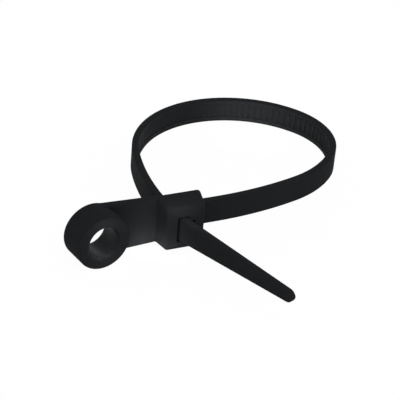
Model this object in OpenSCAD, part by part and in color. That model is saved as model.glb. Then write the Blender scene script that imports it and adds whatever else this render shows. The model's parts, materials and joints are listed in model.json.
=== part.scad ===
// Mounted cable tie, closed into a loop.
// It is one moulding: strap, head with slot and pawl, flat tab and screw eyelet.
// All sizes are in millimetres. The hole's middle is the origin and the hole runs along Y.
// Z runs across the strap, and the loop lies behind the hole.

/* [Strap] */
// Width of the strap
strap_w = 4.8; // [4:0.1:6]
// Thickness of the strap, measured over its side rails
strap_t = 1.4; // [1.2:0.1:1.8]
// Bevel along the strap's long edges
strap_bevel = 0.1; // [0.05:0.05:0.3]
// Width of the smooth rail on each side of the teeth
rail_w = 0.8; // [0.6:0.1:1.2]

/* [Teeth] */
// Distance from one tooth to the next
tooth_pitch = 1.3; // [1:0.1:1.4]
// Height of a tooth
tooth_h = 0.35; // [0.3:0.05:0.6]
// Depth of the tooth tops below the rails
tooth_sink = 0.1; // [0.05:0.05:0.2]
// Smooth length of strap between the head and the first tooth
smooth_start = 7; // [4:0.5:14]
// Toothed length of the tail past the head
toothed_tail = 3; // [1:0.5:8]

/* [Loop] */
// Straight length of strap between the head and the first bend
lead_out = 3; // [1:0.5:8]
// Radius of each bend, on the way from the head's side round to the slot
bend_r = [70.5, 23.5, 15, 21, 21, 23, 56]; // [10:0.5:90]
// Angle of each bend but the last, which turns the rest of the way to the slot
bend_angle = [15, 28.5, 78.5, 47.5, 55, 30.5]; // [10:0.5:90]

/* [Head] */
// Width of the head on the loop's side
head_w_back = 9.8; // [9:0.1:12]
// Width of the head on the tail's side
head_w_front = 7.4; // [7:0.1:9]
// Depth of the head, from the loop's side to the tail's side
head_d = 5.5; // [5:0.1:6.5]
// Height of the head, across the strap
head_h = 9.1; // [8:0.1:11]
// Rounding of the head's edges
head_round = 0.7; // [0.4:0.1:1]
// How far the head stands out behind the middle of the strap's root
head_behind = 1; // [0.8:0.1:1.5]
// Height of the sloped collar round the slot's outer end
collar_h = 0.4; // [0.2:0.1:0.8]
// Width of the collar's flat rim
collar_rim = 0.4; // [0.3:0.1:0.8]
// Radius of the fillets where the strap and the tab leave the head
root_fillet = 0.8; // [0.4:0.1:1.2]

/* [Slot and pawl] */
// Distance of the slot's mouth from the head's middle, towards the eyelet
slot_off = 1.7; // [1.4:0.1:2]
// Lean of the strap as it enters the slot
slot_lean = 5; // [0:1:8]
// Lean of the tail as it leaves the head
tail_lean = 20; // [14:1:24]
// Radius of the strap's bend in the slot
slot_bend_r = 28.5; // [25:0.5:40]
// Free space round the strap in the slot
slot_gap = 0.2; // [0.1:0.05:0.3]
// Extra width of the slot on the tail's side
slot_flare = 0.3; // [0:0.05:0.5]
// Number of teeth on the pawl
pawl_teeth = 3; // [2:1:3]
// Thickness of the pawl behind its teeth
pawl_t = 0.9; // [0.6:0.1:1]
// Free space between the pawl's teeth and the strap's
pawl_gap = 0.12; // [0.08:0.02:0.2]
// Free space beside and behind the pawl
pawl_room = 0.4; // [0.3:0.1:0.5]
// How far the pawl's tip lies inside the head
pawl_setback = 0.5; // [0.3:0.1:0.8]

/* [Tail] */
// Straight length of the tail after its bend
tail_l = 26.2; // [15:0.1:60]
// Width of the tail at its rounded end
tail_tip_w = 2.3; // [1.5:0.1:3.5]
// Thickness of the tail at its end
tail_tip_t = 1; // [0.8:0.1:1.2]
// Length over which the tail's end is rounded off
tail_round = 1.2; // [1:0.1:2]

/* [Tab] */
// Thickness of the tab
tab_t = 1.5; // [1.2:0.1:2]
// Width of the tab at the head
tab_w_head = 9.4; // [7:0.1:10]
// How far the tab's edges lie inside the ring's outline at the eyelet
tab_inset = 0.05; // [0.05:0.05:0.5]
// Distance from the head's middle to the eyelet's middle
tab_l = 17; // [14:0.5:30]

/* [Eyelet] */
// Diameter of the screw hole
hole_d = 6.2; // [4.4:0.1:6.6]
// Width of the ring round the hole
ring_w = 2.3; // [1.6:0.1:4]
// Thickness of the eyelet
eyelet_t = 5.8; // [3:0.1:7]
// Rounding of the eyelet's rims and of the tab's edges
edge_round = 0.5; // [0.2:0.1:0.6]
// How far the eyelet stands out behind the middle of the tab
eyelet_behind = 0.5; // [0:0.1:1]
// Angle that the eyelet is turned towards the tail
eyelet_turn = 10; // [0:1:15]

/* [Hidden] */
nylon = "#222325";

// Longest facet along the strap
facet_l = 1;
// Length by which a part reaches into the one that carries it
bite = 1;
// Distance by which a cut runs past the surface that it opens
over = 0.3;
// Sweep of the tail's end rounding, a little short of the point where it closes
end_sweep = 84;

// The head's own frame: x from its middle towards the strap, y towards the loop
head_front = head_behind - head_d;
// Half the head's width at a depth y
function head_half(y) = (head_w_front + (head_w_back - head_w_front) * (y - head_front) / head_d) / 2;
strap_root = [head_half(0), 0];
slot_mouth = [-slot_off, head_behind];

// A pose on the strap's centre line is [x, y, heading]
function arc_chord(radius, heading, turn) =
    radius * [sin(heading + turn) - sin(heading), cos(heading) - cos(heading + turn)];
function move(pose, length, turn) =
    let(
        heading = pose[2],
        shift = turn == 0
            ? length * [cos(heading), sin(heading)]
            : arc_chord(length / turn * 180 / PI, heading, turn)
    )
    [pose[0] + shift[0], pose[1] + shift[1], heading + turn];
function total(list, count) = count <= 0 ? 0 : list[count - 1] + total(list, count - 1);
function vector_sum(list, i = 0) = i == len(list) ? [0, 0] : list[i] + vector_sum(list, i + 1);

// The bends' angles add up to the strap's heading at the slot
heading_in = 270 + slot_lean;
slot_bend = tail_lean - slot_lean;
turns = concat(bend_angle, [heading_in - total(bend_angle, len(bend_angle))]);
headings = [for (i = [0 : len(turns) - 1]) total(turns, i)];

// Two bends give way a little in radius, so that the loop always closes at the slot's mouth
giving_y = 2;
giving_x = 4;
open_end = strap_root + [lead_out, 0]
    + vector_sum([for (i = [0 : len(turns) - 1]) arc_chord(bend_r[i], headings[i], turns[i])]);
miss = slot_mouth - open_end;
chord_y = arc_chord(1, headings[giving_y], turns[giving_y]);
chord_x = arc_chord(1, headings[giving_x], turns[giving_x]);
function cross_of(a, b) = a[0] * b[1] - a[1] * b[0];
give = [cross_of(miss, chord_x), cross_of(chord_y, miss)] / cross_of(chord_y, chord_x);
radii = [
    for (i = [0 : len(turns) - 1])
        bend_r[i] + (i == giving_y ? give[0] : i == giving_x ? give[1] : 0)
];

// The centre line as pieces of [length, turn], from inside the head to the tail's end
pieces = concat(
    [[bite + lead_out, 0]],
    [for (i = [0 : len(turns) - 1]) [radii[i] * turns[i] * PI / 180, turns[i]]],
    [[slot_bend_r * slot_bend * PI / 180, slot_bend], [tail_l, 0]]
);
piece_starts = [for (i = [0 : len(pieces)]) total([for (p = pieces) p[0]], i)];
function trace(pose, i = 0) =
    i == len(pieces) ? [] : concat([pose], trace(move(pose, pieces[i][0], pieces[i][1]), i + 1));
poses = trace([strap_root[0] - bite, 0, 0]);
strap_end = piece_starts[len(pieces)];
mouth_s = piece_starts[len(pieces) - 2];
taper_s = mouth_s + head_d;

// Pose of the centre line at a length s along the strap
function pose_at(s) =
    let(
        i = max([for (k = [0 : len(pieces) - 1]) if (k == 0 || piece_starts[k] <= s) k]),
        length = s - piece_starts[i]
    )
    move(poses[i], length, pieces[i][1] * length / pieces[i][0]);
// Plan point at a length s along the strap, set off sideways towards the loop's inside
function beside(s, off) =
    let(pose = pose_at(s))
    [pose[0] - off * sin(pose[2]), pose[1] + off * cos(pose[2])];

// The strap's section, which tapers from the head's outer face to the tail's rounded end
half_t = strap_t / 2;
round_s = strap_end - tail_round;
function taper(s) = max(0, (s - taper_s) / (strap_end - taper_s));
function end_round(s) = s <= round_s ? 1 : sqrt(1 - pow((s - round_s) / tail_round, 2));
function half_w_at(s) = (strap_w + (tail_tip_w - strap_w) * taper(s)) / 2 * end_round(s);
function half_t_at(s) = (strap_t + (tail_tip_t - strap_t) * taper(s)) / 2;
function section(s) =
    let(
        w = half_w_at(s),
        t = half_t_at(s),
        b = min(strap_bevel, w / 2)
    )
    [[-t, b - w], [-t, w - b], [b - t, w], [t - b, w], [t, w - b], [t, b - w], [t - b, -w], [b - t, -w]];
even_steps = ceil(round_s / facet_l);
end_steps = 6;
stations = concat(
    [for (i = [0 : even_steps]) round_s * i / even_steps],
    [for (i = [1 : end_steps]) round_s + tail_round * sin(end_sweep * i / end_steps)]
);

// Teeth: a step up at each place, then a slope down to the foot of the next step
floor_off = half_t - tooth_sink - tooth_h;
crest_off = half_t - tooth_sink;
pawl_tip_s = mouth_s + head_d - pawl_setback;
tooth_zero = pawl_tip_s + pawl_gap;
first_tooth = ceil((bite + smooth_start - tooth_zero) / tooth_pitch);
last_tooth = floor((taper_s + toothed_tail - tooth_zero) / tooth_pitch);
function tooth_s(k) = tooth_zero + k * tooth_pitch;
channel_w = strap_w - 2 * rail_w;

// The pawl is hinged near the slot's mouth, and its free tip points the way the tail leaves
pawl_root_s = pawl_tip_s - pawl_teeth * tooth_pitch;
pawl_w = channel_w - 2 * pawl_room;
pawl_front = crest_off + pawl_gap;
pawl_back = pawl_front + pawl_t;
slot_inner = half_t + slot_gap;
slot_outer = -half_t - slot_gap;
slot_h = strap_w + 2 * slot_gap;
slot_end_s = taper_s + collar_h + 2 * bite;
pocket_off = pawl_back + pawl_room;

// The eyelet
hole_r = hole_d / 2;
eyelet_r = hole_r + ring_w;
eyelet_back = [-tab_l, eyelet_behind];

// Puts what is drawn in the head's frame into the hole's frame
module from_head() {
    translate([0, eyelet_t / 2, 0])
        rotate([0, 0, -eyelet_turn])
            translate([-eyelet_back[0], -eyelet_back[1], 0])
                children();
}

// A prism over a plan outline, with its middle at the strap's middle
module plan_prism(points, height) {
    translate([0, 0, -height / 2])
        linear_extrude(height)
            polygon(points);
}

// A block with rounded edges, stretched between its corner points and those of a smaller end
module rounded_block(corners, radius, end_corners = [], end_radius = 0) {
    hull() {
        for (c = corners)
            translate(c)
                sphere(radius, $fn = 24);
        for (c = end_corners)
            translate(c)
                sphere(end_radius, $fn = 12);
    }
}

// Concave fillet in the corner at the origin, between +X and the head's drafted side below it
module corner_fillet(radius, height) {
    draft = atan((head_w_back - head_w_front) / 2 / head_d);
    reach = radius / tan((90 + draft) / 2);
    side_end = reach * [-sin(draft), -cos(draft)];
    translate([0, 0, -height / 2])
        linear_extrude(height)
            difference() {
                polygon([
                    [reach, 0],
                    [reach, bite / 2],
                    [-bite, bite / 2],
                    side_end - [bite, 0],
                    side_end,
                    [reach, -radius]
                ]);
                translate([reach, -radius])
                    circle(radius, $fn = 48);
            }
}

// Strap from its root in the head, round the loop, through the slot and out to the tail's end
module strap_bar() {
    corner_count = len(section(0));
    points = [
        for (s = stations)
            let(pose = pose_at(s))
            for (q = section(s))
                [pose[0] - q[0] * sin(pose[2]), pose[1] + q[0] * cos(pose[2]), q[1]]
    ];
    sides = [
        for (i = [0 : len(stations) - 2])
            for (j = [0 : corner_count - 1])
                let(a = i * corner_count + j, b = i * corner_count + (j + 1) % corner_count)
                [a, b, b + corner_count, a + corner_count]
    ];
    root_face = [for (j = [corner_count - 1 : -1 : 0]) j];
    end_face = [for (j = [0 : corner_count - 1]) len(points) - corner_count + j];
    polyhedron(points, concat([root_face], sides, [end_face]));
}

module tooth_channel() {
    clear_off = half_t + over;
    teeth = [
        for (k = [first_tooth : last_tooth - 1])
            each [beside(tooth_s(k), crest_off), beside(tooth_s(k + 1), floor_off)]
    ];
    above = [for (k = [last_tooth : -1 : first_tooth]) beside(tooth_s(k), clear_off)];
    plan_prism(concat(teeth, above), channel_w);
}

module strap() {
    difference() {
        strap_bar();
        tooth_channel();
    }
}

// The head's block, narrower on the tail's side, where a sloped collar rises round the slot
module head_block() {
    r = head_round;
    rim = collar_rim / 2;
    left = beside(taper_s, slot_outer - slot_flare)[0];
    right = beside(taper_s, pocket_off)[0];
    rounded_block([
        for (y = [head_front + r, head_behind - r])
            for (side = [-1, 1])
                for (z = [-1, 1])
                    [side * (head_half(y) - r), y, z * (head_h / 2 - r)]
    ], r, [
        for (x = [left - rim, right + rim])
            for (z = [-1, 1])
                [x, head_front - collar_h + rim, z * (slot_h / 2 + rim)]
    ], rim);
}

// The slot follows the strap and widens a little towards the tail's side
module slot() {
    from_s = mouth_s - bite;
    steps = 10;
    path = [for (i = [0 : steps]) from_s + (slot_end_s - from_s) * i / steps];
    outer = [for (s = path) beside(s, slot_outer - slot_flare * max(0, s - mouth_s) / head_d)];
    inner = [for (i = [steps : -1 : 0]) beside(path[i], slot_inner)];
    plan_prism(concat(outer, inner), slot_h);
}

// Room for the pawl to bend away from the strap
module pawl_pocket() {
    plan_prism([
        beside(pawl_root_s, half_t),
        beside(slot_end_s, half_t),
        beside(slot_end_s, pocket_off),
        beside(pawl_root_s, pocket_off)
    ], pawl_w + 2 * pawl_room);
}

module pawl() {
    root_bite = bite / 2;
    teeth = [
        for (k = [-pawl_teeth : -1])
            each [
                beside(tooth_s(k) - pawl_gap, pawl_front),
                beside(tooth_s(k + 1) - pawl_gap, floor_off + pawl_gap)
            ]
    ];
    plan_prism(concat(
        [beside(pawl_root_s - root_bite, pawl_back), beside(pawl_root_s - root_bite, slot_inner)],
        [beside(pawl_root_s, slot_inner)],
        teeth,
        [beside(pawl_tip_s, pawl_back - pawl_room)]
    ), pawl_w);
}

// Flat tab from the head into the eyelet, where it lies just inside the ring's back and rims
module tab() {
    r = edge_round;
    inner_x = head_half(0) - bite;
    axis = [sin(eyelet_turn), -cos(eyelet_turn)];
    outer_end = eyelet_back + (tab_inset + r) * axis;
    depth = tab_t - 2 * r;
    rounded_block([
        for (z = [-1, 1])
            for (y = [-1, 1])
                [-inner_x, y * depth / 2, z * (tab_w_head / 2 - r)],
        for (z = [-1, 1])
            for (p = [outer_end, outer_end + depth * axis])
                [p[0], p[1], z * (eyelet_r - tab_inset - r)]
    ], r);
}

// Fillets on the tail's side of the tab's root and the strap's root
module root_fillets() {
    translate([-head_half(-tab_t / 2), -tab_t / 2, 0])
        mirror([1, 0, 0])
            corner_fillet(root_fillet, tab_w_head - 2 * edge_round);
    translate([head_half(-half_t), -half_t, 0])
        corner_fillet(root_fillet, strap_w - 2 * strap_bevel);
}

// Places its children on the hole's axis, with +Z pointing away from the loop
module on_hole_axis() {
    translate([eyelet_back[0], eyelet_back[1], 0])
        rotate([0, 0, eyelet_turn])
            rotate([90, 0, 0])
                children();
}

module eyelet() {
    on_hole_axis()
        rotate_extrude($fn = 96)
            translate([hole_r, 0])
                rounded_rect(ring_w, eyelet_t, edge_round);
}

// A rectangle with its corner at the origin and all four corners rounded
module rounded_rect(width, height, radius) {
    translate([radius, 0])
        square([width - 2 * radius, height]);
    translate([0, radius])
        square([width, height - 2 * radius]);
    for (x = [radius, width - radius])
        for (y = [radius, height - radius])
            translate([x, y])
                circle(radius, $fn = 20);
}

module head_and_tab() {
    difference() {
        union() {
            head_block();
            root_fillets();
            difference() {
                tab();
                on_hole_axis()
                    translate([0, 0, -bite])
                        cylinder(eyelet_t + 2 * bite, r = hole_r + ring_w / 2, $fn = 96);
            }
        }
        slot();
        pawl_pocket();
    }
}

module cable_tie() {
    color(nylon)
        from_head()
            union() {
                head_and_tab();
                pawl();
                eyelet();
                strap();
            }
}

cable_tie();
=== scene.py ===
import json
import math
from collections import defaultdict

import bpy
from mathutils import Matrix, Vector

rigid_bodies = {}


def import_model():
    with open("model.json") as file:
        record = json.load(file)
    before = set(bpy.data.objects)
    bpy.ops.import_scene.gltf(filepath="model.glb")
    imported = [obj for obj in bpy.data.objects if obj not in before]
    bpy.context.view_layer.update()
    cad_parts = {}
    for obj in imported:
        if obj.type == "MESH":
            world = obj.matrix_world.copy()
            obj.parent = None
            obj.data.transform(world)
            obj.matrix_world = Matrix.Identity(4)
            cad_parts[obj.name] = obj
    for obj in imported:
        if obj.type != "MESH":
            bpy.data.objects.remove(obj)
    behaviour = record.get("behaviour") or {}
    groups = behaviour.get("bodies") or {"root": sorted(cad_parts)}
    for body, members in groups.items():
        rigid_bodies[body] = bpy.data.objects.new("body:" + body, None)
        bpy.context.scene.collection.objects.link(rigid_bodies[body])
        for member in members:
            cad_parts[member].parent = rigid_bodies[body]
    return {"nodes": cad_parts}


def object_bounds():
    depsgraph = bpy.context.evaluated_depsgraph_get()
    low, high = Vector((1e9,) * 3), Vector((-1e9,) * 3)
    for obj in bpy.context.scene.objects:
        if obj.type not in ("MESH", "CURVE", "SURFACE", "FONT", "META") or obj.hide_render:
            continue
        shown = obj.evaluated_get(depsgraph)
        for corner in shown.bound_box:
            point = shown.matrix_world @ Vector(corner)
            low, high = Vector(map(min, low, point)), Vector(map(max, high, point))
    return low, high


for default_object in list(bpy.data.objects):
    bpy.data.objects.remove(default_object)

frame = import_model()
cad_low, cad_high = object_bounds()


# The cable tie
# One moulding in black nylon: strap, head with its slot and pawl, flat tab and screw eyelet.
# Its outside has the mould's fine even grain. The toothed side comes off smoother steel, and the
# hole's wall comes off a polished pin.
# The steep sides of the teeth and the rack's walls are painted lighter: a painted highlight that
# lifts the shade in the gullets.

NYLON_BLACK = (0.0084, 0.0092, 0.0102, 1)
NYLON_CLOUD = (0.0110, 0.0119, 0.0131, 1)
CLOUD_SIZE = 0.006
CLOUD_DETAIL = 3
CLOUD_RANGE = (0.3, 0.7)
GRAIN_SIZE = 0.00018
GRAIN_DETAIL = 2
GRAINED = {"roughness": (0.84, 0.92), "depth": 0.000006, "specular": 0.045}
TOOTHED = {"roughness": (0.78, 0.86), "depth": 0.000003, "specular": 0.10}
POLISHED = {"roughness": (0.38, 0.46), "depth": 0.000002, "specular": 0.09}
# Painted light: the tooth steps and the rack's walls get a base colour this many times lighter, a
# painted highlight over their shade.
STEP_PAINTED_LIGHT = 3.6
GRAINED_SLOT, TOOTHED_SLOT, POLISHED_SLOT, PAINTED_STEP_SLOT = range(4)
RACK_SLOTS = (TOOTHED_SLOT, PAINTED_STEP_SLOT)
SOFT_EDGE = math.radians(28)
SOFT_TOOTH = math.radians(110)
UPRIGHT = 0.5
SAME_PLACE_DIGITS = 7
LOOP_MIDDLE = Vector((0.0385, 0.014, 0))
INWARD = -0.5
STRAP_EDGE = 0.00233
STEP_LENGTH = 0.0005
HEAD_BACK = 0.002
HEAD_RIGHT = 0.0216
LOOP_LEFT = 0.0095
HOLE_REACH = 1.02 * 0.0031


def add_node(tree, kind, at, inputs=None, **properties):
    """A node of one kind at a place in the tree, with its input values and its properties."""
    node = tree.nodes.new(kind)
    node.location = at
    for name, value in properties.items():
        setattr(node, name, value)
    for name, value in (inputs or {}).items():
        node.inputs[name].default_value = value
    return node


def new_material(name):
    """An empty node material, its tree and its output node."""
    material = bpy.data.materials.new(name)
    material.use_nodes = True
    material.node_tree.nodes.clear()
    output = add_node(material.node_tree, "ShaderNodeOutputMaterial", (900, 0))
    return material, material.node_tree, output


def moulded_skin_group():
    """Clouds in colour and gloss from the melt's flow, and the fine grain of the mould's steel."""
    group = bpy.data.node_groups.new("moulded_skin", "ShaderNodeTree")
    inputs = (
        ("Dark", "NodeSocketColor"), ("Light", "NodeSocketColor"),
        ("Smoothest", "NodeSocketFloat"), ("Roughest", "NodeSocketFloat"),
        ("Cloud Scale", "NodeSocketFloat"), ("Grain Scale", "NodeSocketFloat"),
    )
    outputs = (
        ("Color", "NodeSocketColor"), ("Roughness", "NodeSocketFloat"),
        ("Grain", "NodeSocketFloat"),
    )
    for name, kind in inputs:
        group.interface.new_socket(name=name, in_out="INPUT", socket_type=kind)
    for name, kind in outputs:
        group.interface.new_socket(name=name, in_out="OUTPUT", socket_type=kind)
    given = add_node(group, "NodeGroupInput", (-900, 0))
    made = add_node(group, "NodeGroupOutput", (500, 0))
    place = add_node(group, "ShaderNodeTexCoord", (-900, 300))
    cloud = add_node(group, "ShaderNodeTexNoise", (-600, 200), {"Detail": CLOUD_DETAIL})
    grain = add_node(group, "ShaderNodeTexNoise", (-600, -250), {"Detail": GRAIN_DETAIL})
    tint = add_node(group, "ShaderNodeMix", (0, 250), data_type="RGBA")
    shine_ends = {"From Min": CLOUD_RANGE[0], "From Max": CLOUD_RANGE[1]}
    shine = add_node(group, "ShaderNodeMapRange", (0, 0), shine_ends)
    link = group.links.new
    link(place.outputs["Object"], cloud.inputs["Vector"])
    link(place.outputs["Object"], grain.inputs["Vector"])
    link(given.outputs["Cloud Scale"], cloud.inputs["Scale"])
    link(given.outputs["Grain Scale"], grain.inputs["Scale"])
    link(cloud.outputs["Fac"], tint.inputs["Factor"])
    link(given.outputs["Dark"], tint.inputs["A"])
    link(given.outputs["Light"], tint.inputs["B"])
    link(cloud.outputs["Fac"], shine.inputs["Value"])
    link(given.outputs["Smoothest"], shine.inputs["To Min"])
    link(given.outputs["Roughest"], shine.inputs["To Max"])
    link(tint.outputs["Result"], made.inputs["Color"])
    link(shine.outputs["Result"], made.inputs["Roughness"])
    link(grain.outputs["Fac"], made.inputs["Grain"])
    return group


moulded_skin = moulded_skin_group()


def nylon_material(name, roughness, depth, specular, painted_lift=1):
    """Black nylon in one finish, with the depth of its grain and a factor that paints its colour
    lighter as a painted highlight.
    """
    material, tree, output = new_material(name)
    shader = add_node(tree, "ShaderNodeBsdfPrincipled", (600, 0), {"Specular IOR Level": specular})
    skin = add_node(tree, "ShaderNodeGroup", (-100, 0), node_tree=moulded_skin)
    values = {
        "Dark": [painted_lift * part for part in NYLON_BLACK],
        "Light": [painted_lift * part for part in NYLON_CLOUD],
        "Smoothest": roughness[0], "Roughest": roughness[1],
        "Cloud Scale": 1 / CLOUD_SIZE, "Grain Scale": 1 / GRAIN_SIZE,
    }
    for socket, value in values.items():
        skin.inputs[socket].default_value = value
    bump = add_node(tree, "ShaderNodeBump", (250, -250), {"Distance": depth})
    tree.links.new(skin.outputs["Color"], shader.inputs["Base Color"])
    tree.links.new(skin.outputs["Roughness"], shader.inputs["Roughness"])
    tree.links.new(skin.outputs["Grain"], bump.inputs["Height"])
    tree.links.new(bump.outputs["Normal"], shader.inputs["Normal"])
    tree.links.new(shader.outputs["BSDF"], output.inputs["Surface"])
    return material


def is_polished(face):
    """True for a face on the wall of the screw hole."""
    return math.hypot(face.center.x, face.center.z) < HOLE_REACH


def is_toothed(face):
    """True for a face on the inner side of the strap's loop."""
    middle = face.center
    past_head = middle.x > HEAD_RIGHT or (middle.y > HEAD_BACK and middle.x > LOOP_LEFT)
    inward = Vector((LOOP_MIDDLE.x - middle.x, LOOP_MIDDLE.y - middle.y, 0)).normalized()
    return past_head and abs(middle.z) < STRAP_EDGE and face.normal.dot(inward) > INWARD


def stands(face):
    """True for an upright face, and false for one that looks up or down."""
    return abs(face.normal.z) < UPRIGHT


def is_step(face, corners):
    """True for the steep side of a tooth, short in plan, and for the rack's walls at the rails,
    which get a painted highlight.
    """
    plan = [corners[i].co.xy for i in face.vertices]
    short = max((a - b).length for a in plan for b in plan) < STEP_LENGTH
    return short or abs(face.normal.z) > UPRIGHT


def shade_round(mesh):
    """Shades faces that meet at a small angle as one round surface; teeth are softer still."""
    places = [tuple(round(c, SAME_PLACE_DIGITS) for c in vertex.co) for vertex in mesh.vertices]
    meeting = defaultdict(list)
    for face in mesh.polygons:
        for corner in face.vertices:
            meeting[places[corner]].append(face)
    normals = []
    for face in mesh.polygons:
        on_rack = face.material_index in RACK_SLOTS
        limit = math.cos(SOFT_TOOTH if on_rack and stands(face) else SOFT_EDGE)
        for corner in face.vertices:
            near = [
                other for other in meeting[places[corner]]
                if other.normal.dot(face.normal) > limit
                and (other.material_index in RACK_SLOTS) == on_rack
                and stands(other) == stands(face)
            ]
            total = sum((other.normal * other.area for other in near), Vector())
            normals.append(total.normalized())
    mesh.polygons.foreach_set("use_smooth", [True] * len(mesh.polygons))
    mesh.normals_split_custom_set(normals)


tie = frame["nodes"]["cable_tie"]
tie.data.materials.clear()
for material in (
    nylon_material("grained_nylon", **GRAINED),
    nylon_material("toothed_nylon", **TOOTHED),
    nylon_material("polished_nylon", **POLISHED),
    # The same toothed nylon with its colour painted lighter, a painted highlight for the tooth
    # steps.
    nylon_material("tooth_step_painted_light", painted_lift=STEP_PAINTED_LIGHT, **TOOTHED),
):
    tie.data.materials.append(material)
for face in tie.data.polygons:
    if is_polished(face):
        face.material_index = POLISHED_SLOT
    elif is_toothed(face):
        face.material_index = PAINTED_STEP_SLOT if is_step(face, tie.data.vertices) else TOOTHED_SLOT
    else:
        face.material_index = GRAINED_SLOT
shade_round(tie.data)


# Floor and surroundings
# A plain white table that sweeps up to a low white wall all round, with the tie's soft shadow on
# it. The camera and reflections see it as white, and its other light stays at a plain level.

TABLE_RADIUS = 1.2
SWEEP_RADIUS = 0.4
WALL_HEIGHT = 0.6
SWEEP_STEPS = 12
ROUND_STEPS = 96
TABLE_WHITE = (0.92, 0.92, 0.92, 1)
TABLE_GLOW = 0.97
ROOM_LIGHT = 0.9

profile = [(TABLE_RADIUS, 0)]
for step in range(1, SWEEP_STEPS + 1):
    angle = math.radians(90 * step / SWEEP_STEPS)
    radius = TABLE_RADIUS + SWEEP_RADIUS * math.sin(angle)
    profile.append((radius, SWEEP_RADIUS * (1 - math.cos(angle))))
profile.append((TABLE_RADIUS + SWEEP_RADIUS, WALL_HEIGHT))
points = [(0, 0, cad_low.z)]
for radius, height in profile:
    for step in range(ROUND_STEPS):
        angle = 2 * math.pi * step / ROUND_STEPS
        points.append((radius * math.cos(angle), radius * math.sin(angle), cad_low.z + height))
faces = [(0, 1 + step, 1 + (step + 1) % ROUND_STEPS) for step in range(ROUND_STEPS)]
for ring in range(len(profile) - 1):
    start = 1 + ring * ROUND_STEPS
    for step in range(ROUND_STEPS):
        first, second = start + step, start + (step + 1) % ROUND_STEPS
        faces.append((first, first + ROUND_STEPS, second + ROUND_STEPS, second))
table_mesh = bpy.data.meshes.new("table")
table_mesh.from_pydata(points, [], faces)
table_mesh.polygons.foreach_set("use_smooth", [True] * len(faces))
table = bpy.data.objects.new("table", table_mesh)
bpy.context.scene.collection.objects.link(table)

table_material, table_tree, table_output = new_material("white_table")
paper = add_node(table_tree, "ShaderNodeBsdfDiffuse", (200, 0), {"Color": TABLE_WHITE})
glow = add_node(table_tree, "ShaderNodeEmission", (200, -200))
blend = add_node(table_tree, "ShaderNodeMixShader", (600, 0))
path = add_node(table_tree, "ShaderNodeLightPath", (-700, 300))
mirrored = add_node(table_tree, "ShaderNodeMath", (-500, 300), operation="MAXIMUM")
seen = add_node(table_tree, "ShaderNodeMath", (-300, 300), operation="MAXIMUM")
share = add_node(table_tree, "ShaderNodeMath", (0, 300), {1: TABLE_GLOW}, operation="MULTIPLY")
table_tree.links.new(path.outputs["Is Glossy Ray"], mirrored.inputs[0])
table_tree.links.new(path.outputs["Is Transmission Ray"], mirrored.inputs[1])
table_tree.links.new(path.outputs["Is Camera Ray"], seen.inputs[0])
table_tree.links.new(mirrored.outputs[0], seen.inputs[1])
table_tree.links.new(seen.outputs[0], share.inputs[0])
table_tree.links.new(share.outputs[0], blend.inputs["Fac"])
table_tree.links.new(paper.outputs["BSDF"], blend.inputs[1])
table_tree.links.new(glow.outputs["Emission"], blend.inputs[2])
table_tree.links.new(blend.outputs["Shader"], table_output.inputs["Surface"])
table_mesh.materials.append(table_material)

world = bpy.data.worlds.new("room")
bpy.context.scene.world = world
world.use_nodes = True
world.node_tree.nodes.clear()
room = add_node(world.node_tree, "ShaderNodeBackground", (200, 0), {"Strength": ROOM_LIGHT})
world_output = add_node(world.node_tree, "ShaderNodeOutputWorld", (600, 0))
world.node_tree.links.new(room.outputs["Background"], world_output.inputs["Surface"])


# Studio light
# Soft boxes round the tie, each turned to its middle, and small lit cards held close to it, as in
# close-up work. Each card lifts one edge or face. The camera sees none of them.

MIDDLE = (cad_low + cad_high) / 2
TAB_CORNER = Vector((0.0103, -0.0015, -0.0043))
HEAD_FOOT = Vector((0.0136, -0.0055, -0.0042))
HEAD_BROW = Vector((0.0145, -0.0050, 0.0038))
HEAD_SHOULDER = Vector((0.0126, -0.0036, 0.0040))
LOOP_BACK = Vector((0.0550, 0.0272, -0.001))
RING_BROW = Vector((0.0008, -0.0033, 0.0038))
RING_FOOT = Vector((0.0020, -0.0033, -0.0042))
HOLE_SILL = Vector((-0.0012, -0.0012, -0.0028))


def way_towards(azimuth, elevation):
    """The direction from a place to a lamp or camera; azimuth 0 is in front, minus to the left."""
    turn, lift = math.radians(azimuth), math.radians(elevation)
    level = math.cos(lift)
    return Vector((math.sin(turn) * level, -math.cos(turn) * level, math.sin(lift)))


def soft_box(name, aim, way, distance, size, power):
    """A square area lamp at a distance from the place that it faces."""
    lamp = bpy.data.lights.new(name, "AREA")
    lamp.size = size
    lamp.energy = power
    box = bpy.data.objects.new(name, lamp)
    box.location = aim + way * distance
    box.rotation_mode = "QUATERNION"
    box.rotation_quaternion = way.to_track_quat("Z", "Y")
    box.visible_camera = False
    bpy.context.scene.collection.objects.link(box)


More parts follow.
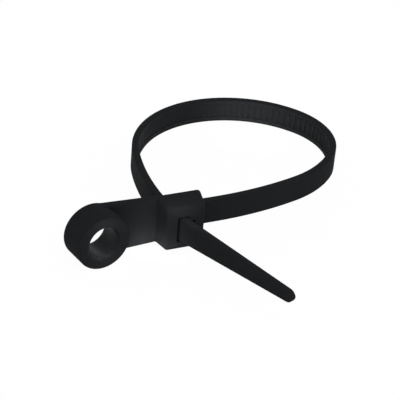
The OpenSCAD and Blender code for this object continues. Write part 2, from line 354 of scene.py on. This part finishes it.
for name, azimuth, elevation, distance, size, power in (
    ("overhead_box", 20, 80, 0.6, 0.5, 0.5),
    ("front_box", 0, 8, 0.4, 0.12, 0.3),
    ("left_box", -80, 8, 0.4, 0.12, 0.2),
    ("top_front_box", -10, 45, 0.5, 0.15, 0.4),
    ("back_box", 150, 30, 0.5, 0.2, 0.25),
):
    soft_box(name, MIDDLE, way_towards(azimuth, elevation), distance, size, power)

for name, aim, azimuth, elevation, distance, size, power in (
    ("tab_card", TAB_CORNER, -35, 0, 0.0032, 0.0020, 0.00038),
    ("foot_card", HEAD_FOOT, -40, 0, 0.0026, 0.0020, 0.00010),
    ("brow_card", HEAD_BROW, -20, 45, 0.0040, 0.0030, 0.00018),
    ("shoulder_card", HEAD_SHOULDER, -65, 30, 0.0020, 0.0010, 0.000018),
    ("loop_card", LOOP_BACK, -52, 0, 0.0090, 0.0100, 0.0009),
    ("ring_card", RING_BROW, -20, 0, 0.0030, 0.0030, 0.00012),
    ("ring_foot_card", RING_FOOT, 0, 0, 0.0026, 0.0026, 0.00005),
    ("sill_card", HOLE_SILL, 30, 40, 0.0030, 0.0015, 0.00010),
):
    soft_box(name, aim, way_towards(azimuth, elevation), distance, size, power)


# Camera
# It stands to the left of the screw hole's axis and looks down on the tie, turned a few degrees.

IMAGE_WIDTH = 400
FOCAL_PIXELS = 1538.9
SENSOR_WIDTH = 36
NEAREST_SEEN = 0.01
CAMERA_AZIMUTH = -36.3
CAMERA_ELEVATION = 31.0
CAMERA_ROLL = 5.0
CAMERA_DISTANCE = 0.287
CAMERA_AIM = Vector((0.0222, 0, 0.0015))

back = way_towards(CAMERA_AZIMUTH, CAMERA_ELEVATION)
turn = math.radians(CAMERA_AZIMUTH)
right = Vector((math.cos(turn), math.sin(turn), 0))
level = Matrix((right, back.cross(right), back)).transposed()
camera_data = bpy.data.cameras.new("camera")
camera_data.sensor_width = SENSOR_WIDTH
camera_data.lens = FOCAL_PIXELS * SENSOR_WIDTH / IMAGE_WIDTH
camera_data.clip_start = NEAREST_SEEN
camera = bpy.data.objects.new("camera", camera_data)
camera.matrix_world = Matrix.Translation(CAMERA_AIM + CAMERA_DISTANCE * back) @ (
    level @ Matrix.Rotation(math.radians(CAMERA_ROLL), 3, "Z")
).to_4x4()
bpy.context.scene.collection.objects.link(camera)
bpy.context.scene.camera = camera

bpy.context.scene.view_settings.view_transform = "Standard"
